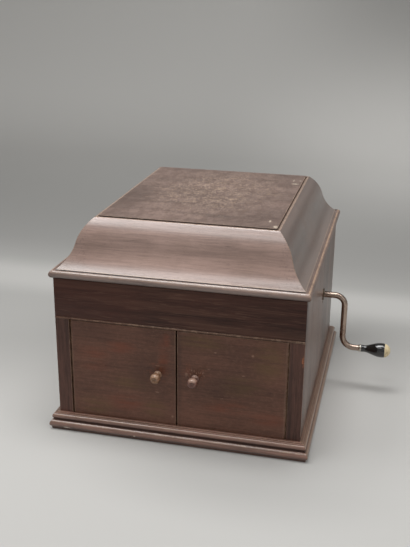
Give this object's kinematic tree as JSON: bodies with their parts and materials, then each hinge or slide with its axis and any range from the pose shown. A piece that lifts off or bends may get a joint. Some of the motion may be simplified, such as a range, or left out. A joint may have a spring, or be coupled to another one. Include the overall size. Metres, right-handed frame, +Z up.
{
  "type": "table gramophone",
  "caption": "Table gramophone: wooden cabinet with two doors over an internal horn, a hinged ogee lid over the turntable and tonearm, and a side crank that winds a spring motor.",
  "frame": {"origin": "middle of the underside, on the surface it stands on", "axes": "+Z up, -Y out of the doors, +X out of the side with the crank"},
  "size_m": [0.5809, 0.5388, 0.3804],
  "materials": {
    "dark_mahogany": "worn satin varnish",
    "lid_mahogany": "worn satin varnish",
    "pale_wood": "bare",
    "black_iron": "black enamel",
    "bright_steel": "machined",
    "nickel": "worn nickel plate",
    "old_brass": "tarnished",
    "black_lacquer": "glossy lacquer",
    "cream_cap": "yellowed",
    "green_felt": "napped",
    "mica": "clear"
  },
  "bodies": {
    "cabinet": {"bottom_board": "dark_mahogany", "left_side_panel": "dark_mahogany", "right_side_panel": "dark_mahogany", "back_panel": "dark_mahogany", "front_top_rail": "dark_mahogany", "front_stiles": "dark_mahogany", "front_bottom_rail": "dark_mahogany", "base_moulding_front": "lid_mahogany", "base_moulding_sides": "lid_mahogany", "base_moulding_back": "lid_mahogany", "motor_board_cleats": "pale_wood", "motor_board": "lid_mahogany", "horn_top_board": "pale_wood", "horn_bottom_board": "pale_wood", "horn_side_boards": "pale_wood", "horn_elbow": "black_iron", "crank_escutcheon": "black_iron", "tonearm_base": "nickel", "needle_cups": "nickel", "motor_plate": "black_iron", "motor_frame": "black_iron", "door_pivot_pins": "old_brass", "lid_hinge_lower_leaves": "old_brass", "lid_stay_guide": "old_brass"},
    "left_door_leaf": {"left_door": "dark_mahogany", "left_door_knob": "dark_mahogany"},
    "right_door_leaf": {"right_door": "dark_mahogany", "right_door_knob": "dark_mahogany"},
    "lid": {"lid_rim": "lid_mahogany", "lid_front_board": "lid_mahogany", "lid_back_board": "lid_mahogany", "lid_left_board": "lid_mahogany", "lid_right_board": "lid_mahogany", "lid_top_panel": "lid_mahogany", "lid_hinge_upper_leaves": "old_brass", "lid_stay": "old_brass"},
    "crank": {"crank_rod": "nickel", "winding_shaft": "bright_steel"},
    "grip": {"crank_grip": "black_lacquer", "grip_end_cap": "cream_cap"},
    "winding_arbor": {"winding_wheel": "old_brass"},
    "pawl": {"winding_pawl": "bright_steel"},
    "barrel": {"spring_barrel": "bright_steel", "mainspring": "bright_steel"},
    "intermediate": {"intermediate_gear": "old_brass"},
    "platter": {"turntable": "nickel", "turntable_felt": "green_felt", "spindle": "bright_steel"},
    "governor": {"governor_shaft": "bright_steel", "governor_weights": "old_brass"},
    "brake_arm": {"friction_lever": "bright_steel"},
    "speed_setting": {"speed_knob": "nickel"},
    "stop": {"brake_lever": "nickel"},
    "arm": {"tonearm": "nickel"},
    "sound_head": {"gooseneck": "nickel", "sound_box": "nickel", "diaphragm": "mica", "stylus_bar": "bright_steel", "needle": "bright_steel"},
    "thumbscrew": {"needle_screw": "old_brass"}
  },
  "joints": [
    {"name": "lid_hinge", "type": "hinge", "parent": "cabinet", "child": "lid", "pos_m": [0, 0.2534, 0.2827], "axis": [-1, 0, 0], "range_deg": [0, 65]},
    {"name": "left_door_hinge", "type": "hinge", "parent": "cabinet", "child": "left_door_leaf", "pos_m": [-0.1838, -0.2435, 0.12], "axis": [0, 0, -1], "range_deg": [0, 95]},
    {"name": "right_door_hinge", "type": "hinge", "parent": "cabinet", "child": "right_door_leaf", "pos_m": [0.1838, -0.2435, 0.12], "axis": [0, 0, 1], "range_deg": [0, 95]},
    {"name": "crank_turn", "type": "hinge", "parent": "cabinet", "child": "crank", "pos_m": [0, 0.035, 0.189], "axis": [1, 0, 0], "continuous": true},
    {"name": "grip_turn", "type": "hinge", "parent": "crank", "child": "grip", "pos_m": [0.294, 0.035, 0.084], "axis": [1, 0, 0], "continuous": true},
    {"name": "winding_arbor_turn", "type": "hinge", "parent": "cabinet", "child": "winding_arbor", "pos_m": [-0.012, 0.035, 0.15], "axis": [0, 0, 1], "continuous": true},
    {"name": "pawl_lift", "type": "hinge", "parent": "cabinet", "child": "pawl", "pos_m": [0.054, 0.052, 0.197], "axis": [1, 0, 0], "range_deg": [-12, 10]},
    {"name": "platter_turn", "type": "hinge", "parent": "cabinet", "child": "platter", "pos_m": [-0.03007, -0.04501, 0.27], "axis": [0, 0, 1], "continuous": true},
    {"name": "intermediate_turn", "type": "hinge", "parent": "cabinet", "child": "intermediate", "pos_m": [-0.0153, -0.0189, 0.16], "axis": [0, 0, 1], "continuous": true},
    {"name": "barrel_turn", "type": "hinge", "parent": "cabinet", "child": "barrel", "pos_m": [-0.012, 0.035, 0.155], "axis": [0, 0, 1], "continuous": true},
    {"name": "governor_turn", "type": "hinge", "parent": "cabinet", "child": "governor", "pos_m": [-0.03007, -0.07226, 0.218], "axis": [1, 0, 0], "continuous": true},
    {"name": "speed_turn", "type": "hinge", "parent": "cabinet", "child": "speed_setting", "pos_m": [0.0954, -0.16503, 0.24], "axis": [0, 0, 1], "range_deg": [-60, 60]},
    {"name": "friction_lever_swing", "type": "hinge", "parent": "cabinet", "child": "brake_arm", "pos_m": [0.084, -0.04826, 0.218], "axis": [0, 0, 1], "range_deg": [-0.81, 0.81]},
    {"name": "stop_swing", "type": "hinge", "parent": "cabinet", "child": "stop", "pos_m": [0.13986, -0.07501, 0.26], "axis": [0, 0, -1], "range_deg": [0, 20]},
    {"name": "arm_swing", "type": "hinge", "parent": "cabinet", "child": "arm", "pos_m": [0.145, 0.15, 0.29], "axis": [0, 0, -1], "range_deg": [-4, 27]},
    {"name": "sound_head_lift", "type": "hinge", "parent": "arm", "child": "sound_head", "pos_m": [0.145, -0.07, 0.322], "axis": [0, 1, 0], "range_deg": [0, 65]},
    {"name": "needle_screw_turn", "type": "hinge", "parent": "sound_head", "child": "thumbscrew", "pos_m": [0.133, -0.0999, 0.29515], "axis": [1, 0, 0], "range_deg": [0, 270]}
  ],
  "couplings": [
    {"joint": "winding_arbor_turn", "follows": "crank_turn", "ratio": 0.26667},
    {"joint": "intermediate_turn", "follows": "platter_turn", "ratio": -0.25},
    {"joint": "barrel_turn", "follows": "platter_turn", "ratio": 0.03125},
    {"joint": "governor_turn", "follows": "platter_turn", "ratio": -15},
    {"joint": "friction_lever_swing", "follows": "speed_turn", "ratio": -0.0135}
  ]
}
